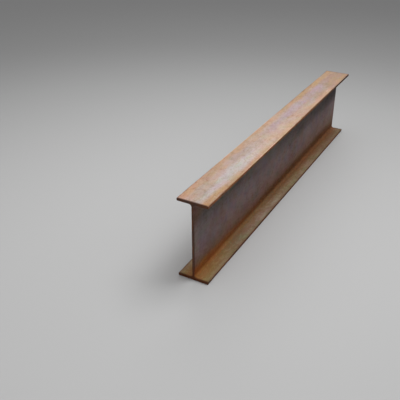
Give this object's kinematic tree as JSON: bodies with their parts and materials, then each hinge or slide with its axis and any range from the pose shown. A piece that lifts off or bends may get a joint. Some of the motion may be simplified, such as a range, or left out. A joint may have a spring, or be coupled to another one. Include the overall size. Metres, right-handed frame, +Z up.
{
  "type": "steel h-beam",
  "caption": "Hot-rolled steel beam of H section: two parallel flanges joined by a web with rolled root fillets, sawn square, standing on its lower flange.",
  "frame": {"origin": "middle of the underside of the lower flange, halfway along the beam", "axes": "+X across the flanges, +Y along the beam towards its far end, +Z up the web from the lower flange to the upper flange"},
  "size_m": [0.15, 1.9, 0.4],
  "materials": {
    "rusted_steel": "hot-rolled mill scale, grey-mauve on the web, under a thin satin film of orange-brown rust that is heaviest in the root fillets and along the flange edges"
  },
  "bodies": {
    "root": {"h_beam": "rusted_steel"}
  },
  "joints": []
}
